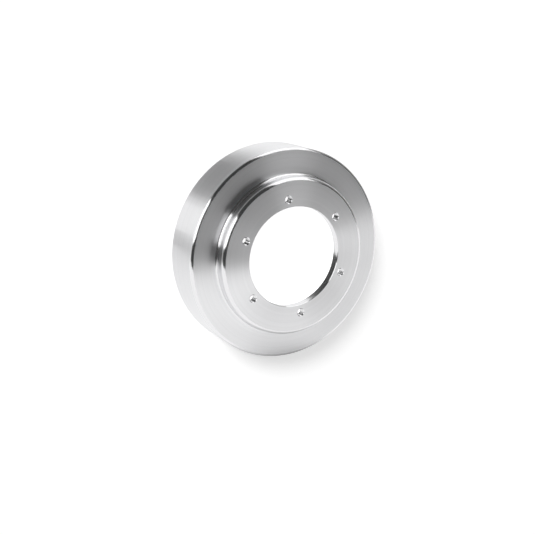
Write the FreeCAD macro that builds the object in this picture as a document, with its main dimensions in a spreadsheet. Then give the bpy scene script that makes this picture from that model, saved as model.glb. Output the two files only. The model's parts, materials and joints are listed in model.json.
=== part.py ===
"""Fan drive pulley: flat-belt rim, web and raised bolting hub, turned as one piece of aluminium.

Millimetres. The pulley's axis is +Z. The open end of the rim lies at z = 0, the hub's bolting face
is the top, and the middle of one bolt hole is on +X.
"""
import FreeCAD, Part
import os
import Sketcher

# Driving dimensions: name, value, meaning. All are millimetres, apart from the count.
SIZES = [
    ("rim_diameter", 220.0, "outside of the rim, where the belt runs"),
    ("rim_depth", 46.0, "open end of the rim to the front of the web"),
    ("rim_wall", 7.0, "thickness of the rim"),
    ("rim_front_round", 3.2, "rounding of the rim's front edge"),
    ("rim_root_round", 6.0, "inside corner between rim and web"),
    ("rim_end_chamfer", 0.8, "edge break round the open end, outside and inside"),
    ("web_thickness", 9.0, "ring-shaped web between rim and hub"),
    ("hub_diameter", 164.0, "outside of the raised hub"),
    ("hub_rise", 12.5, "front of the web to the hub's bolting face"),
    ("hub_root_round", 2.0, "hollow corner where the hub rises from the web"),
    ("hub_edge_round", 4.0, "rounding of the bolting face's outer edge"),
    ("hub_plate", 8.5, "thickness of the hub plate, bolting face to pocket floor"),
    ("hub_wall", 9.0, "wall round the pocket behind the hub"),
    ("pocket_corner_round", 4.0, "inside corner at the pocket's floor"),
    ("pocket_mouth_round", 2.5, "edge where the pocket opens in the back of the web"),
    ("bore_diameter", 104.0, "centring bore through the hub plate"),
    ("bore_chamfer", 0.4, "edge break at both ends of the bore"),
    ("bolt_count", 6, "bolt holes, evenly spaced"),
    ("bolt_inset", 8.5, "wall of the bore to the bolt holes' middles, straight outwards"),
    ("tap_drill", 6.8, "bolt hole before its M8 thread"),
    ("thread_countersink", 8.6, "diameter of the 90 degree countersink at both ends of a bolt hole"),
]

# Radii and heights of the section, as formulas on the sheet.
RIM_OUTSIDE = "sizes.rim_diameter / 2"
RIM_INSIDE = "sizes.rim_diameter / 2 - sizes.rim_wall"
HUB_OUTSIDE = "sizes.hub_diameter / 2"
POCKET_WALL = "sizes.hub_diameter / 2 - sizes.hub_wall"
BORE_WALL = "sizes.bore_diameter / 2"
OPEN_END = "0"
WEB_BACK = "sizes.rim_depth - sizes.web_thickness"
WEB_FRONT = "sizes.rim_depth"
POCKET_FLOOR = "sizes.rim_depth + sizes.hub_rise - sizes.hub_plate"
HUB_FACE = "sizes.rim_depth + sizes.hub_rise"

# A round never takes more than the wall it lies on: the hub's side carries two rounds,
# and so does the side of the pocket.
HUB_ROOT_ROUND = "min(sizes.hub_root_round; sizes.hub_rise - sizes.hub_edge_round)"
POCKET_CORNER_ROUND = ("min(sizes.pocket_corner_round; sizes.hub_rise - sizes.hub_plate"
                       " + sizes.web_thickness - sizes.pocket_mouth_round)")

# A bolt hole's own section, as radii from the hole's axis. The 45 degree flanks of its
# countersinks run on past the faces by as much as they go in.
BOLT_AXIS = "sizes.bore_diameter / 2 + sizes.bolt_inset"
SINK_DEPTH = "(sizes.thread_countersink - sizes.tap_drill) / 2"
DRILL_SIDE = f"{BOLT_AXIS} + sizes.tap_drill / 2"
SINK_SIDE = f"{BOLT_AXIS} + sizes.thread_countersink / 2 + {SINK_DEPTH}"

SKETCH_ORIGIN = -1
START, FINISH = 1, 2
NEAR = 1e-4

doc = FreeCAD.newDocument("fan_drive_pulley")
sheet = doc.addObject("Spreadsheet::Sheet", "sizes")
for row, (name, value, meaning) in enumerate(SIZES, start=1):
    sheet.set(f"A{row}", name)
    sheet.set(f"B{row}", str(value))
    sheet.set(f"C{row}", meaning)
    sheet.setAlias(f"B{row}", name)
doc.recompute()


def number(formula):
    """The plain number that a formula on the sheet gives."""
    result = sheet.evalExpression(formula)
    return float(getattr(result, "Value", result))


def origin_feature(body, role):
    """The body's own origin plane or axis with this role."""
    return next(item for item in body.Origin.OriginFeatures if item.Role == role)


def section_sketch(body, name, corners):
    """Closed outline in the body's XZ plane, each corner held by its radius and its height.

    A corner is (name, radius formula, height formula).
    """
    sketch = body.newObject("Sketcher::SketchObject", name)
    sketch.AttachmentSupport = (origin_feature(body, "XZ_Plane"), "")
    sketch.MapMode = "FlatFace"
    points = [FreeCAD.Vector(number(radius), number(height), 0) for _, radius, height in corners]
    count = len(corners)
    for index in range(count):
        sketch.addGeometry(Part.LineSegment(points[index], points[(index + 1) % count]), False)
    for index in range(count):
        after = (index + 1) % count
        sketch.addConstraint(Sketcher.Constraint("Coincident", index, FINISH, after, START))
    for index, (corner, radius, height) in enumerate(corners):
        across = sketch.addConstraint(
            Sketcher.Constraint("DistanceX", SKETCH_ORIGIN, START, index, START, points[index].x))
        sketch.renameConstraint(across, f"{corner}_radius")
        sketch.setExpression(f"Constraints.{corner}_radius", radius)
        if height == OPEN_END:
            sketch.addConstraint(Sketcher.Constraint("PointOnObject", index, START, SKETCH_ORIGIN))
            continue
        up = sketch.addConstraint(
            Sketcher.Constraint("DistanceY", SKETCH_ORIGIN, START, index, START, points[index].y))
        sketch.renameConstraint(up, f"{corner}_height")
        sketch.setExpression(f"Constraints.{corner}_height", height)
    return sketch


def ring_edges(feature, radius, height):
    """Names of the feature's circular edges round Z with this radius at this height."""
    names = []
    for index, edge in enumerate(feature.Shape.Edges, start=1):
        curve = edge.Curve
        if not isinstance(curve, Part.Circle):
            continue
        centred = abs(curve.Center.x) < NEAR and abs(curve.Center.y) < NEAR
        same_size = abs(curve.Radius - number(radius)) < NEAR
        if centred and same_size and abs(curve.Center.z - number(height)) < NEAR:
            names.append(f"Edge{index}")
    if not names:
        raise RuntimeError(f"no ring edge at radius {radius}, height {height}")
    return names


def finish_edges(body, kind, name, rings, amount):
    """A Fillet or Chamfer of the body's tip along the rings, its amount a formula on the sheet."""
    base = body.Tip
    feature = body.newObject(f"PartDesign::{kind}", name)
    feature.Base = (base, [edge for ring in rings for edge in ring_edges(base, *ring)])
    feature.setExpression("Radius" if kind == "Fillet" else "Size", amount)
    doc.recompute()
    return feature


def turned_blank(body):
    """The whole section turned about Z: rim, web, hub with its pocket, and bore."""
    section = section_sketch(body, "turned_section", [
        ("rim_end", RIM_OUTSIDE, OPEN_END),
        ("rim_front", RIM_OUTSIDE, WEB_FRONT),
        ("hub_root", HUB_OUTSIDE, WEB_FRONT),
        ("hub_edge", HUB_OUTSIDE, HUB_FACE),
        ("bore_front", BORE_WALL, HUB_FACE),
        ("bore_back", BORE_WALL, POCKET_FLOOR),
        ("pocket_corner", POCKET_WALL, POCKET_FLOOR),
        ("pocket_mouth", POCKET_WALL, WEB_BACK),
        ("rim_root", RIM_INSIDE, WEB_BACK),
        ("rim_end_inside", RIM_INSIDE, OPEN_END),
    ])
    blank = body.newObject("PartDesign::Revolution", "turned_blank")
    blank.Profile = section
    blank.ReferenceAxis = (section, ["V_Axis"])
    blank.Angle = 360.0
    doc.recompute()
    return blank


def turned_edges(body):
    """Rounds and edge breaks of the turned section."""
    finish_edges(body, "Fillet", "hub_edge_round", [(HUB_OUTSIDE, HUB_FACE)], "sizes.hub_edge_round")
    finish_edges(body, "Fillet", "hub_root_round", [(HUB_OUTSIDE, WEB_FRONT)], HUB_ROOT_ROUND)
    finish_edges(body, "Fillet", "rim_front_round", [(RIM_OUTSIDE, WEB_FRONT)], "sizes.rim_front_round")
    finish_edges(body, "Fillet", "rim_root_round", [(RIM_INSIDE, WEB_BACK)], "sizes.rim_root_round")
    finish_edges(body, "Fillet", "pocket_mouth_round", [(POCKET_WALL, WEB_BACK)],
                 "sizes.pocket_mouth_round")
    finish_edges(body, "Fillet", "pocket_corner_round", [(POCKET_WALL, POCKET_FLOOR)],
                 POCKET_CORNER_ROUND)
    finish_edges(body, "Chamfer", "rim_end_breaks", [(RIM_OUTSIDE, OPEN_END), (RIM_INSIDE, OPEN_END)],
                 "sizes.rim_end_chamfer")
    finish_edges(body, "Chamfer", "bore_breaks", [(BORE_WALL, HUB_FACE), (BORE_WALL, POCKET_FLOOR)],
                 "sizes.bore_chamfer")


def sketch_axis(sketch, top, bottom, closing_line):
    """A construction line along the outline's closing line, for the cut to turn about."""
    line = sketch.addGeometry(Part.LineSegment(top, bottom), True)
    sketch.addConstraint(Sketcher.Constraint("PointOnObject", line, START, closing_line))
    sketch.addConstraint(Sketcher.Constraint("PointOnObject", line, FINISH, closing_line))
    return "Axis0"


def drilled_walls(shape):
    """Where the round walls left by the tap drill stand, one place for each hole."""
    radius = number("sizes.tap_drill") / 2
    places = set()
    for face in shape.Faces:
        wall = face.Surface
        if isinstance(wall, Part.Cylinder) and abs(wall.Radius - radius) < NEAR:
            places.add((round(wall.Center.x, 2), round(wall.Center.y, 2)))
    return places


def bolt_holes(body):
    """One drilled hole with a countersink at both ends, repeated round the bolt circle."""
    section = section_sketch(body, "bolt_hole_section", [
        ("axis_top", BOLT_AXIS, f"{HUB_FACE} + {SINK_DEPTH}"),
        ("sink_top", SINK_SIDE, f"{HUB_FACE} + {SINK_DEPTH}"),
        ("drill_top", DRILL_SIDE, f"{HUB_FACE} - {SINK_DEPTH}"),
        ("drill_bottom", DRILL_SIDE, f"{POCKET_FLOOR} + {SINK_DEPTH}"),
        ("sink_bottom", SINK_SIDE, f"{POCKET_FLOOR} - {SINK_DEPTH}"),
        ("axis_bottom", BOLT_AXIS, f"{POCKET_FLOOR} - {SINK_DEPTH}"),
    ])
    top = FreeCAD.Vector(number(BOLT_AXIS), number(HUB_FACE), 0)
    bottom = FreeCAD.Vector(number(BOLT_AXIS), number(POCKET_FLOOR), 0)
    axis = sketch_axis(section, top, bottom, closing_line=section.GeometryCount - 1)
    hole = body.newObject("PartDesign::Groove", "bolt_hole")
    hole.Profile = section
    hole.ReferenceAxis = (section, [axis])
    hole.Angle = 360.0
    pattern = body.newObject("PartDesign::PolarPattern", "bolt_holes")
    pattern.Originals = [hole]
    pattern.Axis = (origin_feature(body, "Z_Axis"), [""])
    pattern.Angle = 360.0
    pattern.setExpression("Occurrences", "sizes.bolt_count")
    body.Tip = pattern
    doc.recompute()
    drilled = len(drilled_walls(pattern.Shape))
    if drilled != round(number("sizes.bolt_count")):
        raise RuntimeError(f"{drilled} bolt holes were drilled")


def pulley():
    """The finished pulley, one body."""
    body = doc.addObject("PartDesign::Body", "pulley")
    body.Label = "pulley"
    turned_blank(body)
    turned_edges(body)
    bolt_holes(body)
    body.Placement = FreeCAD.Placement()
    return body


def check(parts):
    """Stop if anything in the document failed or a shape isn't one good solid."""
    failed = [item.Name for item in doc.Objects if {"Invalid", "Error"} & set(item.State)]
    if failed:
        raise RuntimeError(f"failed: {failed}")
    for part in parts:
        shape = part.Shape
        if shape.isNull() or not shape.isValid() or len(shape.Solids) != 1:
            raise RuntimeError(f"{part.Label} isn't one good solid")


parts = [pulley()]
doc.recompute()
check(parts)
os.makedirs("parts", exist_ok=True)
for part in parts:
    part.Shape.exportStep(f"parts/{part.Label}.step")
    box = part.Shape.optimalBoundingBox()
    print(f"{part.Label}: {box.XLength:.2f} x {box.YLength:.2f} x {box.ZLength:.2f} mm,"
          f" {part.Shape.Volume / 1000:.1f} cm3")
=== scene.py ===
"""Fan drive pulley: the turned surface, tapped bolt holes, bright aluminium finish and studio.

Metres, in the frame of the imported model: the pulley stands on the open end of its rim at z = 0,
its axis is +Z and the middle of one bolt hole lies on +X.
"""

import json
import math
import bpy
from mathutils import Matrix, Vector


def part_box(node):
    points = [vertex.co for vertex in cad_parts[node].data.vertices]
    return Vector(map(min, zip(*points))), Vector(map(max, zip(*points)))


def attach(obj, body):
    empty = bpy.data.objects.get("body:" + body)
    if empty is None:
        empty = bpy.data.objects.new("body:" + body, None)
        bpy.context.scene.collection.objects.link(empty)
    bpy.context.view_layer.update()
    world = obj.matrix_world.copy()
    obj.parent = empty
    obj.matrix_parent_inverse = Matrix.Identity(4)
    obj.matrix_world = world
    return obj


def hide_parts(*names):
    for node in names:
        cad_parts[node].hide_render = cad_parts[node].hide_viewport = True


bl_info = {
    "name": "Fan drive pulley",
    "version": (1, 0, 0),
    "blender": (4, 5, 0),
    "location": "3D View > Sidebar > Pulley",
    "description": "Turned fan drive pulley with tapped bolt holes, and the studio it is shown in",
    "category": "Add Mesh",
}

import bpy
from bpy.props import FloatProperty, FloatVectorProperty, IntProperty, PointerProperty
from mathutils import Matrix, Vector

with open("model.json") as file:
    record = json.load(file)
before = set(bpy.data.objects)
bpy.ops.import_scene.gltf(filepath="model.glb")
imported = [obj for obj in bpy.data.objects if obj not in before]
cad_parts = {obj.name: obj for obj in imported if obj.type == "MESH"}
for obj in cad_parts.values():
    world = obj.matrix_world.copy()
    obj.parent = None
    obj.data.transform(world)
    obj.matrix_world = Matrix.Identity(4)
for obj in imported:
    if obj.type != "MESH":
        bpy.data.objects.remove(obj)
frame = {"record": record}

MM = 0.001
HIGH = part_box("pulley")[1]
MOUNTS = {mount["name"]: mount for mount in frame["record"]["mounts"]}
BORE = MOUNTS["bore"]["dims"]
BOLTS = MOUNTS["bolt_holes"]["dims"]
# A flat strip beside each round, which keeps the shading of the flat next to it flat.
LAND = 0.12 * MM
# Sides of a drilled hole, and steps of one turn of its thread.
HOLE_SIDES = 48
THREAD_STEPS = 40
# Half of the thread's 60 degree angle, how far its groove starts inside the drilled wall, and by
# how many turns in all it runs past the plate.
THREAD_FLANK = math.radians(30)
THREAD_OVERLAP = 0.3 * MM
RUN_OUT_TURNS = 4.0
# An edge with a sharper bend than this isn't shaded smooth.
KEEN_EDGE = math.radians(25)


class PulleySection(bpy.types.PropertyGroup):
    """Sizes of the turned section."""
    rim_radius: FloatProperty(
        name="Rim radius", description="Outside of the rim, where the belt runs",
        default=HIGH.x, min=0.02, unit="LENGTH", precision=4)
    rim_depth: FloatProperty(
        name="Rim depth", description="Open end of the rim to the front of the web",
        default=46 * MM, min=0.005, unit="LENGTH", precision=4)
    rim_wall: FloatProperty(
        name="Rim wall", description="Thickness of the rim",
        default=7 * MM, min=0.001, unit="LENGTH", precision=4)
    rim_front_round: FloatProperty(
        name="Rim front round", description="Rounding of the rim's front edge",
        default=3.2 * MM, min=0.0001, unit="LENGTH", precision=4)
    rim_root_round: FloatProperty(
        name="Rim root round", description="Inside corner between rim and web",
        default=6 * MM, min=0.0001, unit="LENGTH", precision=4)
    rim_end_chamfer: FloatProperty(
        name="Rim end chamfer", description="Edge break round the open end",
        default=0.8 * MM, min=0.0001, unit="LENGTH", precision=4)
    web_thickness: FloatProperty(
        name="Web thickness", description="Ring-shaped web between rim and hub",
        default=9 * MM, min=0.001, unit="LENGTH", precision=4)
    hub_radius: FloatProperty(
        name="Hub radius", description="Outside of the raised hub",
        default=82 * MM, min=0.01, unit="LENGTH", precision=4)
    hub_height: FloatProperty(
        name="Hub height", description="Open end of the rim to the bolting face",
        default=HIGH.z, min=0.01, unit="LENGTH", precision=4)
    hub_root_round: FloatProperty(
        name="Hub root round", description="Hollow corner where the hub rises from the web",
        default=2 * MM, min=0.0001, unit="LENGTH", precision=4)
    hub_edge_round: FloatProperty(
        name="Hub edge round", description="Rounding of the bolting face's outer edge",
        default=4 * MM, min=0.0001, unit="LENGTH", precision=4)
    hub_plate: FloatProperty(
        name="Hub plate", description="Thickness of the plate that the bolts go through",
        default=8.5 * MM, min=0.001, unit="LENGTH", precision=4)
    hub_wall: FloatProperty(
        name="Hub wall", description="Wall round the pocket behind the hub",
        default=9 * MM, min=0.001, unit="LENGTH", precision=4)
    pocket_corner_round: FloatProperty(
        name="Pocket corner round", description="Inside corner at the pocket's floor",
        default=4 * MM, min=0.0001, unit="LENGTH", precision=4)
    pocket_mouth_round: FloatProperty(
        name="Pocket mouth round", description="Edge where the pocket opens in the back of the web",
        default=2.5 * MM, min=0.0001, unit="LENGTH", precision=4)
    bore_radius: FloatProperty(
        name="Bore radius", description="Centring bore through the hub plate",
        default=BORE["r_mm"] * MM, min=0.005, unit="LENGTH", precision=4)
    bore_chamfer: FloatProperty(
        name="Bore chamfer", description="Edge break at both ends of the bore",
        default=0.4 * MM, min=0.0001, unit="LENGTH", precision=4)
    round_steps: IntProperty(
        name="Steps of a round", description="Flats that make up each rounded corner",
        default=14, min=3, max=40)
    turn_steps: IntProperty(
        name="Steps of the turn", description="Flats that make up the full turn",
        default=288, min=24, max=720)


class BoltHoles(bpy.types.PropertyGroup):
    """Sizes of the tapped bolt holes."""
    count: IntProperty(
        name="Count", description="Bolt holes, evenly spaced",
        default=BOLTS["count"], min=1, max=24)
    circle_radius: FloatProperty(
        name="Circle radius", description="Pulley's axis to the middle of a bolt hole",
        default=BOLTS["pcd_mm"] / 2 * MM, min=0.005, unit="LENGTH", precision=4)
    drill_radius: FloatProperty(
        name="Drill radius", description="Bolt hole before its thread",
        default=BOLTS["hole_r_mm"] * MM, min=0.0005, unit="LENGTH", precision=4)
    sink_radius: FloatProperty(
        name="Countersink radius", description="Mouth of the 90 degree countersink at both ends",
        default=4.3 * MM, min=0.0005, unit="LENGTH", precision=4)
    thread_radius: FloatProperty(
        name="Thread radius", description="Root of the internal thread",
        default=4 * MM, min=0.0005, unit="LENGTH", precision=4)
    thread_pitch: FloatProperty(
        name="Thread pitch", description="Rise of the thread in one turn",
        default=1.25 * MM, min=0.0002, unit="LENGTH", precision=5)


class TurnedFinish(bpy.types.PropertyGroup):
    """Look of the bright fine-turned aluminium."""
    colour: FloatVectorProperty(
        name="Colour", description="Colour of the metal seen straight on",
        subtype="COLOR", size=3, min=0, max=1, default=(0.87, 0.87, 0.88))
    face_roughness: FloatProperty(
        name="Face roughness", description="Spread of a reflection in the faced flats",
        subtype="FACTOR", default=0.3, min=0, max=1)
    belt_roughness: FloatProperty(
        name="Belt roughness", description="Spread of a reflection where the belt runs",
        subtype="FACTOR", default=0.42, min=0, max=1)
    polished_roughness: FloatProperty(
        name="Polished roughness", description="Spread of a reflection in the rounds and steps",
        subtype="FACTOR", default=0.16, min=0, max=1)
    grain: FloatProperty(
        name="Grain", description="How much more a reflection spreads across the marks than along",
        subtype="FACTOR", default=0.9, min=0, max=1)
    mark_width: FloatProperty(
        name="Mark width", description="Width of the broader turning marks",
        default=1.6 * MM, min=0.0001, unit="LENGTH", precision=5)
    mark_depth: FloatProperty(
        name="Mark depth", description="Depth of the broader turning marks",
        default=0.008 * MM, min=0, unit="LENGTH", precision=6)


class Studio(bpy.types.PropertyGroup):
    """Floor, cards and lamp round the pulley."""
    floor_colour: FloatVectorProperty(
        name="Floor colour", description="Plain pale floor",
        subtype="COLOR", size=3, min=0, max=1, default=(0.8, 0.8, 0.8))
    room_light: FloatProperty(
        name="Room light", description="Level of the even light from all round",
        default=0.15, min=0, max=4)
    key_light: FloatProperty(
        name="Key light", description="Strength of the soft lamp that throws the floor shadow",
        default=2.1, min=0, max=20)
    key_spread: FloatProperty(
        name="Key spread", description="Width of the soft lamp as an angle",
        subtype="ANGLE", default=math.radians(20), min=0, max=math.pi)
    card_light: FloatProperty(
        name="Card light", description="Level of all the cards that the metal shows",
        default=1.0, min=0, max=4)


def rounded(corner, before, after, radius, steps):
    """Points along the round of a section's corner, both of its ends included."""
    to_before = (before - corner).normalized()
    to_after = (after - corner).normalized()
    half = to_before.angle(to_after) / 2
    reach = radius / math.tan(half)
    middle = corner + (to_before + to_after).normalized() * (radius / math.sin(half))
    start = corner + to_before * reach - middle
    end = corner + to_after * reach - middle
    turn = start.angle_signed(end)
    return [middle + Matrix.Rotation(-turn * step / steps, 2) @ start for step in range(steps + 1)]


def section_points(size):
    """The pulley's section as (radius, height) points, anticlockwise, starting at the open end."""
    pocket_floor = size.hub_height - size.hub_plate
    web_back = size.rim_depth - size.web_thickness
    pocket_wall = size.hub_radius - size.hub_wall
    rim_inside = size.rim_radius - size.rim_wall
    corners = [
        (size.rim_radius, 0, size.rim_end_chamfer, 1),
        (size.rim_radius, size.rim_depth, size.rim_front_round, size.round_steps),
        (size.hub_radius, size.rim_depth, size.hub_root_round, size.round_steps),
        (size.hub_radius, size.hub_height, size.hub_edge_round, size.round_steps),
        (size.bore_radius, size.hub_height, size.bore_chamfer, 1),
        (size.bore_radius, pocket_floor, size.bore_chamfer, 1),
        (pocket_wall, pocket_floor, size.pocket_corner_round, size.round_steps),
        (pocket_wall, web_back, size.pocket_mouth_round, size.round_steps),
        (rim_inside, web_back, size.rim_root_round, size.round_steps),
        (rim_inside, 0, size.rim_end_chamfer, 1),
    ]
    points = []
    for index, (radius, height, amount, steps) in enumerate(corners):
        corner = Vector((radius, height))
        before = Vector(corners[index - 1][:2])
        after = Vector(corners[(index + 1) % len(corners)][:2])
        curve = rounded(corner, before, after, amount, steps)
        points.append(curve[0] + (before - corner).normalized() * LAND)
        points.extend(curve)
        points.append(curve[-1] + (after - corner).normalized() * LAND)
    return points


class Tree:
    """A node tree with short calls for adding nodes and links."""

    def __init__(self, tree):
        self.tree = tree

    def add(self, kind, values=None, **settings):
        """A node with its settings, and with values or links on its inputs by name or number."""
        node = self.tree.nodes.new(kind)
        for name, value in settings.items():
            setattr(node, name, value)
        for key, value in (values or {}).items():
            socket = node.inputs[key]
            if isinstance(value, bpy.types.NodeSocket):
                self.tree.links.new(value, socket)
            else:
                socket.default_value = value
        return node

    def sum(self, kind, operation, *terms):
        """The output of a math node of this kind on these terms."""
        node = self.add(kind, dict(enumerate(terms)), operation=operation)
        return node.outputs[0]

    def math(self, operation, *terms):
        """The output of a number math node."""
        return self.sum("ShaderNodeMath", operation, *terms)

    def vector(self, operation, *terms):
        """The output of a vector math node."""
        return self.sum("ShaderNodeVectorMath", operation, *terms)


def turned_body(t, given):
    """The section swept round the axis into a closed mesh whose faces point outwards."""
    path = t.add("GeometryNodeCurvePrimitiveCircle",
                 {"Resolution": given["Turn steps"], "Radius": given["Bore radius"]}, mode="RADIUS")
    outline = t.add("GeometryNodeMeshToCurve", {"Mesh": given["Section"]})
    place = t.add("GeometryNodeInputPosition")
    split = t.add("ShaderNodeSeparateXYZ", {"Vector": place.outputs[0]}).outputs
    across = t.math("SUBTRACT", split["X"], given["Bore radius"])
    down = t.math("MULTIPLY", split["Z"], -1.0)
    beside = t.add("ShaderNodeCombineXYZ", {"X": across, "Y": down})
    outline = t.add("GeometryNodeSetPosition",
                    {"Geometry": outline.outputs[0], "Position": beside.outputs[0]})
    turned = t.add("GeometryNodeCurveToMesh",
                   {"Curve": path.outputs["Curve"], "Profile Curve": outline.outputs[0]})
    return t.add("GeometryNodeFlipFaces", {"Mesh": turned.outputs["Mesh"]}).outputs[0]


def moved(t, geometry, axis, amount, turned=(0, 0, 0)):
    """The geometry turned by these angles, then moved along one axis."""
    place = t.add("ShaderNodeCombineXYZ", {axis: amount})
    return t.add("GeometryNodeTransform", {
        "Geometry": geometry, "Rotation": turned, "Translation": place.outputs[0]}).outputs[0]


def tool_length(t, given):
    """Length of the drill and the thread, which stand out of the plate at both ends."""
    thickness = t.math("SUBTRACT", given["Plate top"], given["Plate bottom"])
    run_out = t.math("MULTIPLY", given["Thread pitch"], RUN_OUT_TURNS)
    return t.math("ADD", thickness, run_out)


def drill(t, given):
    """The tap drill of a bolt hole, on the pulley's axis at the plate's height."""
    both = t.math("ADD", given["Plate top"], given["Plate bottom"])
    straight = t.add("GeometryNodeMeshCylinder", {
        "Vertices": HOLE_SIDES, "Radius": given["Drill radius"], "Depth": tool_length(t, given)})
    return moved(t, straight.outputs["Mesh"], "Z", t.math("MULTIPLY", both, 0.5))


def countersinks(t, given):
    """The 90 degree cones for the top and the bottom of a bolt hole."""
    depth = t.math("MULTIPLY", given["Countersink radius"], 2.0)
    cone = t.add("GeometryNodeMeshCone", {
        "Vertices": HOLE_SIDES, "Radius Top": depth, "Radius Bottom": 0.0, "Depth": depth})
    top_tip = t.math("SUBTRACT", given["Plate top"], given["Countersink radius"])
    bottom_tip = t.math("ADD", given["Plate bottom"], given["Countersink radius"])
    return (moved(t, cone.outputs["Mesh"], "Z", top_tip),
            moved(t, cone.outputs["Mesh"], "Z", bottom_tip, turned=(math.pi, 0, 0)))


def thread_groove(t, given):
    """The right-hand thread of a bolt hole: a 60 degree groove swept along a helix.

    The flat at the groove's root is an eighth of the pitch wide.
    """
    length = tool_length(t, given)
    helix = t.add("GeometryNodeCurveSpiral", {
        "Resolution": THREAD_STEPS, "Rotations": t.math("DIVIDE", length, given["Thread pitch"]),
        "Start Radius": given["Drill radius"], "End Radius": given["Drill radius"],
        "Height": length, "Reverse": True})
    helix = t.add("GeometryNodeSetCurveNormal", {"Curve": helix.outputs[0]}, mode="Z_UP")
    depth = t.math("SUBTRACT", given["Thread radius"], given["Drill radius"])
    height = t.math("ADD", depth, THREAD_OVERLAP)
    root_width = t.math("DIVIDE", given["Thread pitch"], 8.0)
    flanks = t.math("MULTIPLY", height, 2 * math.tan(THREAD_FLANK))
    groove = t.add("GeometryNodeCurvePrimitiveQuadrilateral", {
        "Bottom Width": t.math("ADD", root_width, flanks), "Top Width": root_width, "Offset": 0.0,
        "Height": height}, mode="TRAPEZOID")
    seat = t.math("MULTIPLY", t.math("SUBTRACT", depth, THREAD_OVERLAP), 0.5)
    groove = moved(t, groove.outputs[0], "X", seat, turned=(0, 0, -math.pi / 2))
    thread = t.add("GeometryNodeCurveToMesh", {
        "Curve": helix.outputs[0], "Profile Curve": groove, "Fill Caps": True})
    run_in = t.math("MULTIPLY", given["Thread pitch"], RUN_OUT_TURNS / 2)
    foot = t.math("SUBTRACT", given["Plate bottom"], run_in)
    return moved(t, thread.outputs["Mesh"], "Z", foot)


def cut_bolt_holes(t, given, body, tools):
    """The body with each tool cut from it at every place of the bolt circle."""
    circle = t.add("GeometryNodeMeshCircle",
                   {"Vertices": given["Bolt count"], "Radius": given["Circle radius"]})
    cut = t.add("GeometryNodeMeshBoolean", {"Mesh 1": body},
                operation="DIFFERENCE", solver="MANIFOLD")
    for tool in tools:
        spread = t.add("GeometryNodeInstanceOnPoints",
                       {"Points": circle.outputs["Mesh"], "Instance": tool})
        whole_tools = t.add("GeometryNodeRealizeInstances", {"Geometry": spread.outputs[0]})
        t.tree.links.new(whole_tools.outputs[0], cut.inputs["Mesh 2"])
    return cut.outputs["Mesh"]


def smooth_rounds(t, mesh):
    """The mesh shaded smooth, but for its keen edges."""
    corner = t.add("GeometryNodeInputMeshEdgeAngle")
    keen = t.math("GREATER_THAN", corner.outputs["Unsigned Angle"], KEEN_EDGE)
    smooth = t.add("GeometryNodeSetShadeSmooth", {"Geometry": mesh}, domain="FACE")
    smooth.inputs["Shade Smooth"].default_value = True
    soft = t.math("SUBTRACT", 1.0, keen)
    return t.add("GeometryNodeSetShadeSmooth",
                 {"Geometry": smooth.outputs[0], "Shade Smooth": soft}, domain="EDGE").outputs[0]


def turned_tree():
    """Geometry nodes that turn the section about Z and cut the tapped bolt holes."""
    group = bpy.data.node_groups.new("turned_pulley", "GeometryNodeTree")
    face = group.interface
    face.new_socket("Section", in_out="INPUT", socket_type="NodeSocketGeometry")
    for name in ("Turn steps", "Bolt count"):
        face.new_socket(name, in_out="INPUT", socket_type="NodeSocketInt")
    for name in ("Bore radius", "Plate bottom", "Plate top", "Circle radius", "Drill radius",
                 "Countersink radius", "Thread radius", "Thread pitch"):
        face.new_socket(name, in_out="INPUT", socket_type="NodeSocketFloat")
    face.new_socket("Metal", in_out="INPUT", socket_type="NodeSocketMaterial")
    face.new_socket("Pulley", in_out="OUTPUT", socket_type="NodeSocketGeometry")
    t = Tree(group)
    given = t.add("NodeGroupInput").outputs
    tools = (drill(t, given), *countersinks(t, given), thread_groove(t, given))
    cut = cut_bolt_holes(t, given, turned_body(t, given), tools)
    real = t.add("GeometryNodeRealizeInstances", {"Geometry": smooth_rounds(t, cut)})
    metal = t.add("GeometryNodeSetMaterial",
                  {"Geometry": real.outputs[0], "Material": given["Metal"]})
    t.add("NodeGroupOutput", {"Pulley": metal.outputs[0]})
    return group


def given_to(modifier, values):
    """Sets a node modifier's named inputs by their identifiers."""
    names = {item.name: item.identifier for item in modifier.node_group.interface.items_tree
             if getattr(item, "in_out", "") == "INPUT"}
    for name, value in values.items():
        modifier[names[name]] = value


def plain_mesh(scaffold, name):
    """The scaffold's evaluated shape as a plain mesh object, in place of the scaffold."""
    depsgraph = bpy.context.evaluated_depsgraph_get()
    mesh = bpy.data.meshes.new_from_object(scaffold.evaluated_get(depsgraph), depsgraph=depsgraph)
    mesh.name = name
    drawn = scaffold.data
    bpy.data.objects.remove(scaffold)
    bpy.data.meshes.remove(drawn)
    piece = bpy.data.objects.new(name, mesh)
    bpy.context.scene.collection.objects.link(piece)
    return piece


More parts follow.
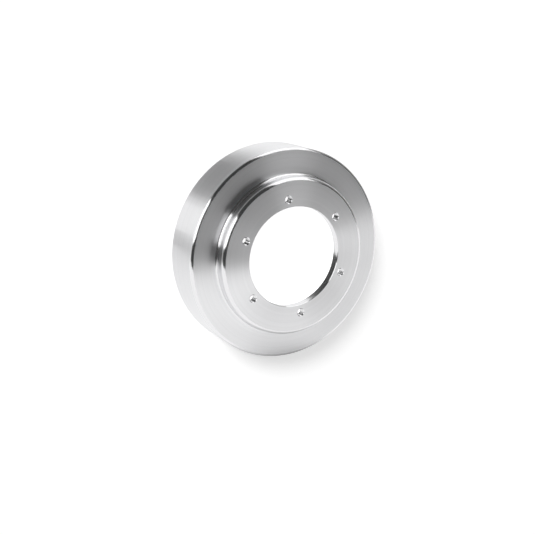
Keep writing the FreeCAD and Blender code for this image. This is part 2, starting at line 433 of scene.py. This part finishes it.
def turned_roughness(t, look, where, radius, section):
    """Roughness of the flats, the belt surface and the rounds, a little uneven in bands and spots.

    How much a surface's normal faces along the axis tells the upright walls from the flats.
    """
    upright_below, flat_from, flat_to = 0.03, 0.97, 0.9995
    belt_depth = 0.5 * MM
    bands_per_mark, spots_per_metre = 0.25, 45.0
    least, band_share, spot_share = 0.9, 0.12, 0.08
    facing = t.add("ShaderNodeSeparateXYZ", {"Vector": where["Normal"]}).outputs["Z"]
    facing = t.math("ABSOLUTE", facing)
    upright = t.math("LESS_THAN", facing, upright_below)
    outermost = t.math("GREATER_THAN", radius, HIGH.x - belt_depth)
    off_face = t.add("ShaderNodeMix", {
        "Factor": t.math("MULTIPLY", upright, outermost), 2: look.polished_roughness,
        3: look.belt_roughness}, data_type="FLOAT").outputs[0]
    on_face = t.add("ShaderNodeMapRange", {
        "Value": facing, "From Min": flat_from, "From Max": flat_to}).outputs[0]
    even = t.add("ShaderNodeMix", {
        "Factor": on_face, 2: off_face, 3: look.face_roughness}, data_type="FLOAT").outputs[0]
    bands = t.add("ShaderNodeTexNoise", {
        "Vector": section, "Scale": bands_per_mark / look.mark_width, "Detail": 1.0},
        noise_dimensions="2D").outputs[0]
    spots = t.add("ShaderNodeTexNoise", {
        "Vector": where["Object"], "Scale": spots_per_metre, "Detail": 2.0}).outputs[0]
    uneven = t.math("ADD", t.math("MULTIPLY", bands, band_share),
                    t.math("MULTIPLY", spots, spot_share))
    return t.math("MULTIPLY", even, t.math("ADD", uneven, least))


def turned_metal(look):
    """Bright aluminium with fine turning marks that run round the pulley's axis."""
    material = bpy.data.materials.new("turned_aluminium")
    material.use_nodes = True
    material.node_tree.nodes.clear()
    t = Tree(material.node_tree)
    where = t.add("ShaderNodeTexCoord").outputs
    along = t.vector("NORMALIZE", t.vector("CROSS_PRODUCT", (0, 0, 1), where["Object"]))
    across = t.vector("CROSS_PRODUCT", where["Normal"], along)

    place = t.add("ShaderNodeSeparateXYZ", {"Vector": where["Object"]}).outputs
    level = t.add("ShaderNodeCombineXYZ", {"X": place["X"], "Y": place["Y"]}).outputs[0]
    radius = t.add("ShaderNodeVectorMath", {0: level}, operation="LENGTH").outputs["Value"]
    section = t.add("ShaderNodeCombineXYZ", {"X": radius, "Y": place["Z"]}).outputs[0]
    marks = t.add("ShaderNodeTexNoise", {
        "Vector": section, "Scale": 1 / look.mark_width, "Detail": 3.0, "Roughness": 0.6},
        noise_dimensions="2D").outputs[0]
    roughness = turned_roughness(t, look, where, radius, section)
    low_mark, high_mark, dull, bright = 0.3, 0.7, 0.97, 1.01
    tone = t.add("ShaderNodeMapRange", {
        "Value": marks, "From Min": low_mark, "From Max": high_mark, "To Min": dull,
        "To Max": bright})
    colour = t.add("ShaderNodeVectorMath", {0: look.colour[:], "Scale": tone.outputs[0]},
                   operation="SCALE").outputs[0]
    ridges = t.add("ShaderNodeBump", {
        "Strength": 1.0, "Distance": look.mark_depth, "Height": marks}).outputs[0]
    shader = t.add("ShaderNodeBsdfPrincipled", {
        "Base Color": colour, "Metallic": 1.0, "Roughness": roughness,
        "Anisotropic": look.grain, "Tangent": across, "Normal": ridges})
    t.add("ShaderNodeOutputMaterial", {"Surface": shader.outputs[0]})
    return material


class PULLEY_OT_turn(bpy.types.Operator):
    """Turn the pulley from its section and tap its bolt holes"""
    bl_idname = "pulley.turn"
    bl_label = "Turn the pulley"

    def execute(self, context):
        scene = context.scene
        size, bolts, look = scene.pulley_section, scene.pulley_bolts, scene.pulley_finish
        points = section_points(size)
        mesh = bpy.data.meshes.new("pulley_section")
        mesh.from_pydata([(p.x, 0, p.y) for p in points],
                         [(i, (i + 1) % len(points)) for i in range(len(points))], [])
        scaffold = bpy.data.objects.new("pulley_section", mesh)
        scene.collection.objects.link(scaffold)
        turning = scaffold.modifiers.new("turning", "NODES")
        turning.node_group = turned_tree()
        given_to(turning, {
            "Turn steps": size.turn_steps, "Bolt count": bolts.count,
            "Bore radius": size.bore_radius,
            "Plate bottom": size.hub_height - size.hub_plate, "Plate top": size.hub_height,
            "Circle radius": bolts.circle_radius, "Drill radius": bolts.drill_radius,
            "Countersink radius": bolts.sink_radius, "Thread radius": bolts.thread_radius,
            "Thread pitch": bolts.thread_pitch, "Metal": turned_metal(look)})
        piece = plain_mesh(scaffold, "turned_pulley")
        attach(piece, "root")
        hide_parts("pulley")
        return {"FINISHED"}


class PULLEY_OT_stage(bpy.types.Operator):
    """Lay the floor and set the cards, the lamp and the camera"""
    bl_idname = "pulley.stage"
    bl_label = "Set the stage"

    def execute(self, context):
        scene = context.scene
        light = scene.pulley_studio.card_light
        set_camera(scene)
        set_floor(scene)
        set_world(scene)
        set_dome_cards(light)
        set_box_right(light)
        set_floor_cards(light)
        set_table_card(light)
        set_hollow_shade_card(light)
        set_key_lamp(scene)
        scene.view_settings.view_transform = "Standard"
        return {"FINISHED"}


# The camera as fitted to the photograph: where it stands, its right and the way it faces away
# from, its focal length and the middle of its view, both in the photograph's pixels.
CAMERA_PLACE = Vector((0.23324, -0.49337, 0.86672))
CAMERA_RIGHT = Vector((-0.6935, 0.5289, 0.4893))
CAMERA_BACK = Vector((0.2114, -0.4998, 0.8399))
FOCAL_PIXELS = 961.5
MIDDLE_PIXELS = (268.0, 269.0)
PICTURE_PIXELS = 535
# The photograph's down and right, laid in the plane of the pulley's rim.
PICTURE_DOWN = Vector((0.607, 0.795, 0)).normalized()
PICTURE_RIGHT = Vector((0, 0, 1)).cross(PICTURE_DOWN)

# Cards on a dome round the pulley, shown by nothing but the metal: name, from and to compass angle
# about +Z, from and to angle above the floor, all in degrees, distance in metres and grey level.
DOME_CARDS = [
    ("dark_tent", 0, 360, 0, 89.9, 3.0, 0.045),
    ("grey_right", 140, 190, 0, 36, 2.9, 0.2),
    ("grey_front_right", 120, 140, 0, 30, 2.9, 0.45),
    ("box_left", 280, 318, 0, 61, 2.8, 1.6),
]
# The long white box at the right leans back from overhead to the picture's top. Its ends are
# angles from overhead, and its sides angles to the picture's right at both ends, in degrees.
BOX_RIGHT_ENDS = (16, 90)
BOX_RIGHT_LEFT_SIDE = (21, -4)
BOX_RIGHT_RIGHT_SIDE = (42, 42)
BOX_RIGHT_COLUMNS = 8
BOX_RIGHT_DISTANCE = 2.8
BOX_RIGHT_LEVEL = 1.3
# Cards that lie on the floor and fan out from the rim the way it mirrors the camera: name, from
# and to compass angle at the rim, height above the floor in millimetres and grey level.
FLOOR_CARDS = [
    ("floor_flag_rim", 251, 291, 0.2, 0.8),
    ("floor_flag_edge", 256.5, 288, 0.4, 0.57),
    ("floor_flag", 262.5, 285.5, 0.6, 0.4),
    ("floor_strip_edge", 303.5, 318, 0.2, 1.0),
    ("floor_strip", 306.5, 315, 0.4, 0.7),
]
FLOOR_CARD_LENGTH = 2.6
FLOOR_CARD_GAP = 1.2 * MM
# The white card that stands on the floor at the picture's foot, as metres to the picture's right
# and up: its corners, and the arc that its top follows at the left. The arc makes the dark
# reflection in the flats end in a straight line there, as it does in the photograph.
TABLE_CORNERS = [(-0.8, 0.1), (-0.8, 0), (0.8, 0), (1.3, 0.18), (1.3, 0.78), (0.45, 0.59),
                 (0.17, 0.48)]
TABLE_ARC_MIDDLE = (-0.095, 0.046)
TABLE_ARC_RADIUS = 0.387
TABLE_ARC_ENDS = (36, -24)
TABLE_GAP = 0.8 * MM
# The painted shadow of the pulley on the card: how the card's level grows with the distance from
# the middle of its foot.
TABLE_SHADE = (0.044, 0.09)
TABLE_LEVELS = (0.32, 1.0)
# The dark card under the bore, a painted shade of the hollow that the bore's wall shows; its
# outline as metres to the picture's right and up in the picture.
HOLLOW_OUTLINE = [(-0.09, -0.015), (0.029, -0.015), (0.029, 0.085), (-0.03, 0.09), (-0.09, 0.03)]
HOLLOW_HEIGHT = 0.4 * MM
HOLLOW_LEVEL = 0.05
# Where the lamp stands from the pulley, as a direction and a distance.
KEY_SIDE = Vector((0.12, -0.8, 0.66)).normalized()
KEY_DISTANCE = 2.0


def card(name, points, faces, level):
    """A card of one grey level that shows in the metal only, and its nodes and strength socket."""
    mesh = bpy.data.meshes.new(name)
    mesh.from_pydata(points, [], faces)
    material = bpy.data.materials.new(name)
    material.use_nodes = True
    material.node_tree.nodes.clear()
    t = Tree(material.node_tree)
    glow = t.add("ShaderNodeEmission", {"Color": (1, 1, 1, 1), "Strength": level})
    t.add("ShaderNodeOutputMaterial", {"Surface": glow.outputs[0]})
    mesh.materials.append(material)
    piece = bpy.data.objects.new(name, mesh)
    bpy.context.scene.collection.objects.link(piece)
    piece.visible_camera = False
    piece.visible_diffuse = False
    piece.visible_transmission = False
    piece.visible_volume_scatter = False
    piece.visible_shadow = False
    return t, glow.inputs["Strength"]


def arc(first, last):
    """Angles from first to last, given in degrees, in radians at most about 5 degrees apart."""
    count = max(1, round(abs(last - first) / 5))
    return [math.radians(first + (last - first) * step / count) for step in range(count + 1)]


def rows_of_faces(rows, columns):
    """Faces between the points of a grid, listed row by row."""
    return [(row * columns + i, row * columns + i + 1, (row + 1) * columns + i + 1,
             (row + 1) * columns + i) for row in range(rows - 1) for i in range(columns - 1)]


def grid_card(name, rows, level):
    """A card through rows of points, each row with as many points as the others."""
    points = [tuple(point) for row in rows for point in row]
    card(name, points, rows_of_faces(len(rows), len(rows[0])), level)


def set_dome_cards(light):
    """The dark tent and what stands in front of it, as parts of a dome."""
    for name, left, right, low, high, distance, level in DOME_CARDS:
        rows = [[Vector((math.cos(turn) * math.cos(lift), math.sin(turn) * math.cos(lift),
                         math.sin(lift))) * distance for turn in arc(left, right)]
                for lift in arc(low, high)]
        grid_card(name, rows, level * light)


def set_box_right(light):
    """The long white box at the right, which narrows towards overhead."""
    near, far = BOX_RIGHT_ENDS
    leans = arc(near, far)
    rows = []
    for step, lean in enumerate(leans):
        share = step / (len(leans) - 1)
        left = BOX_RIGHT_LEFT_SIDE[0] * (1 - share) + BOX_RIGHT_LEFT_SIDE[1] * share
        right = BOX_RIGHT_RIGHT_SIDE[0] * (1 - share) + BOX_RIGHT_RIGHT_SIDE[1] * share
        back = Vector((0, 0, math.cos(lean))) - PICTURE_DOWN * math.sin(lean)
        sides = [math.radians(left + (right - left) * part / BOX_RIGHT_COLUMNS)
                 for part in range(BOX_RIGHT_COLUMNS + 1)]
        rows.append([(PICTURE_RIGHT * math.sin(side) + back * math.cos(side)) * BOX_RIGHT_DISTANCE
                     for side in sides])
    grid_card("box_right", rows, BOX_RIGHT_LEVEL * light)


def set_floor_cards(light):
    """Grey flags and strips on the floor, as the belt surface shows them."""
    camera_side = math.atan2(CAMERA_BACK.y, CAMERA_BACK.x)
    for name, left, right, height, level in FLOOR_CARDS:
        turns = arc(left, right)
        foot = HIGH.x + FLOOR_CARD_GAP
        near = [Vector((math.cos(turn) * foot, math.sin(turn) * foot, height * MM))
                for turn in turns]
        mirrored = [2 * turn - camera_side for turn in turns]
        far = [start + Vector((math.cos(turn), math.sin(turn), 0)) * FLOOR_CARD_LENGTH
               for start, turn in zip(near, mirrored)]
        grid_card(name, [near, far], level * light)


def set_table_card(light):
    """The white card at the picture's foot, with a painted shadow of the pulley that makes it
    darker towards the place where the pulley stands.
    """
    foot = PICTURE_DOWN * (HIGH.x + TABLE_GAP)
    outline = list(TABLE_CORNERS)
    for lean in arc(*TABLE_ARC_ENDS):
        x = TABLE_ARC_MIDDLE[0] + TABLE_ARC_RADIUS * math.sin(lean)
        z = TABLE_ARC_MIDDLE[1] + TABLE_ARC_RADIUS * math.cos(lean)
        outline.append((x, z))
    points = [tuple(foot + PICTURE_RIGHT * x + Vector((0, 0, z))) for x, z in outline]
    t, strength = card("table", points, [tuple(range(len(points)))], light)
    # Painted shadow of the pulley on the card: its glow falls off towards the pulley's foot.
    where = t.add("ShaderNodeTexCoord").outputs["Object"]
    away = t.add("ShaderNodeVectorMath", {0: where, 1: tuple(foot)}, operation="DISTANCE")
    shade = t.add("ShaderNodeMapRange", {
        "Value": away.outputs["Value"], "From Min": TABLE_SHADE[0], "From Max": TABLE_SHADE[1],
        "To Min": TABLE_LEVELS[0] * light, "To Max": TABLE_LEVELS[1] * light})
    t.tree.links.new(shade.outputs[0], strength)


def set_hollow_shade_card(light):
    """The dark card under the bore, a painted shade of the hollow, which darkens the wall of the
    bore at the lower right.
    """
    lift = Vector((0, 0, HOLLOW_HEIGHT))
    points = [tuple(PICTURE_RIGHT * x - PICTURE_DOWN * y + lift) for x, y in HOLLOW_OUTLINE]
    card("hollow_shade_card", points, [tuple(range(len(points)))], HOLLOW_LEVEL * light)


def set_key_lamp(scene):
    """A soft lamp at the picture's upper left, which throws the pulley's shadow on the floor."""
    lamp = bpy.data.lights.new("key", "SUN")
    lamp.energy = scene.pulley_studio.key_light
    lamp.angle = scene.pulley_studio.key_spread
    key = bpy.data.objects.new("key", lamp)
    key.location = KEY_SIDE * KEY_DISTANCE
    key.rotation_mode = "QUATERNION"
    key.rotation_quaternion = KEY_SIDE.to_track_quat("Z", "Y")
    key.visible_glossy = False
    key.visible_camera = False
    scene.collection.objects.link(key)


def set_camera(scene):
    """The camera, looking obliquely down on the hub face, rolled as in the photograph."""
    lens = bpy.data.cameras.new("camera")
    lens.lens = lens.sensor_width * FOCAL_PIXELS / PICTURE_PIXELS
    lens.shift_x = 0.5 - MIDDLE_PIXELS[0] / PICTURE_PIXELS
    lens.shift_y = MIDDLE_PIXELS[1] / PICTURE_PIXELS - 0.5
    camera = bpy.data.objects.new("camera", lens)
    up = CAMERA_BACK.cross(CAMERA_RIGHT)
    turned = Matrix((CAMERA_RIGHT, up, CAMERA_BACK)).transposed().to_4x4()
    camera.matrix_world = Matrix.Translation(CAMERA_PLACE) @ turned
    scene.collection.objects.link(camera)
    scene.camera = camera


def set_floor(scene):
    """A plain pale floor that shows white to the camera and in the metal and keeps the shadow.

    The floor in the hollow gets no lamp light, so it glows more to look as white as the rest.
    """
    half_side = 6.0
    hollow_edge = HIGH.x - 10 * MM
    glow_inside, glow_outside, glow_in_metal = 0.9, 0.57, 1.0
    mesh = bpy.data.meshes.new("floor")
    mesh.from_pydata([(x * half_side, y * half_side, 0)
                      for x, y in ((-1, -1), (1, -1), (1, 1), (-1, 1))], [], [(0, 1, 2, 3)])
    floor = bpy.data.objects.new("floor", mesh)
    scene.collection.objects.link(floor)
    material = bpy.data.materials.new("pale_floor")
    material.use_nodes = True
    material.node_tree.nodes.clear()
    t = Tree(material.node_tree)
    paint = t.add("ShaderNodeBsdfDiffuse", {"Color": (*scene.pulley_studio.floor_colour, 1)})
    ray = t.add("ShaderNodeLightPath").outputs
    shown = t.math("MAXIMUM", ray["Is Glossy Ray"], ray["Is Transmission Ray"])
    where = t.add("ShaderNodeTexCoord").outputs["Object"]
    away = t.add("ShaderNodeVectorMath", {0: where}, operation="LENGTH").outputs["Value"]
    outside = t.math("GREATER_THAN", away, hollow_edge)
    white = t.add("ShaderNodeMix", {"Factor": outside, 2: glow_inside, 3: glow_outside},
                  data_type="FLOAT")
    glow = t.add("ShaderNodeEmission", {
        "Strength": t.math("MULTIPLY", ray["Is Camera Ray"], white.outputs[0])})
    both = t.add("ShaderNodeAddShader", {0: paint.outputs[0], 1: glow.outputs[0]})
    mirrored = t.add("ShaderNodeEmission", {"Strength": glow_in_metal})
    surface = t.add("ShaderNodeMixShader", {0: shown, 1: both.outputs[0], 2: mirrored.outputs[0]})
    t.add("ShaderNodeOutputMaterial", {"Surface": surface.outputs[0]})
    mesh.materials.append(material)


def set_world(scene):
    """White all round to the camera and in the metal, and an even light on everything."""
    world = bpy.data.worlds.new("studio")
    scene.world = world
    world.use_nodes = True
    world.node_tree.nodes.clear()
    t = Tree(world.node_tree)
    ray = t.add("ShaderNodeLightPath").outputs
    seen = t.math("MAXIMUM", ray["Is Camera Ray"],
                  t.math("MAXIMUM", ray["Is Glossy Ray"], ray["Is Transmission Ray"]))
    level = scene.pulley_studio.room_light
    strength = t.add("ShaderNodeMix", {"Factor": seen, 2: level, 3: 1.0}, data_type="FLOAT")
    light = t.add("ShaderNodeBackground", {"Color": (1, 1, 1, 1), "Strength": strength.outputs[0]})
    t.add("ShaderNodeOutputWorld", {"Surface": light.outputs[0]})


class PULLEY_PT_panel(bpy.types.Panel):
    """The pulley's sizes, finish and studio"""
    bl_idname = "PULLEY_PT_panel"
    bl_label = "Fan drive pulley"
    bl_space_type = "VIEW_3D"
    bl_region_type = "UI"
    bl_category = "Pulley"

    def draw(self, context):
        layout = self.layout
        scene = context.scene
        for group in (scene.pulley_section, scene.pulley_bolts, scene.pulley_finish,
                      scene.pulley_studio):
            box = layout.box()
            for name in group.__annotations__:
                box.prop(group, name)
        for operator in (PULLEY_OT_turn, PULLEY_OT_stage):
            layout.operator(operator.bl_idname)


GROUPS = {"pulley_section": PulleySection, "pulley_bolts": BoltHoles,
          "pulley_finish": TurnedFinish, "pulley_studio": Studio}
CLASSES = (*GROUPS.values(), PULLEY_OT_turn, PULLEY_OT_stage, PULLEY_PT_panel)


def register():
    for cls in CLASSES:
        bpy.utils.register_class(cls)
    for name, group in GROUPS.items():
        setattr(bpy.types.Scene, name, PointerProperty(type=group))


def unregister():
    for name in GROUPS:
        delattr(bpy.types.Scene, name)
    for cls in reversed(CLASSES):
        bpy.utils.unregister_class(cls)


def main():
    """Builds the pulley and its stage."""
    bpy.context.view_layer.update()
    register()
    bpy.ops.pulley.turn()
    bpy.ops.pulley.stage()


if __name__ == "__main__":
    main()
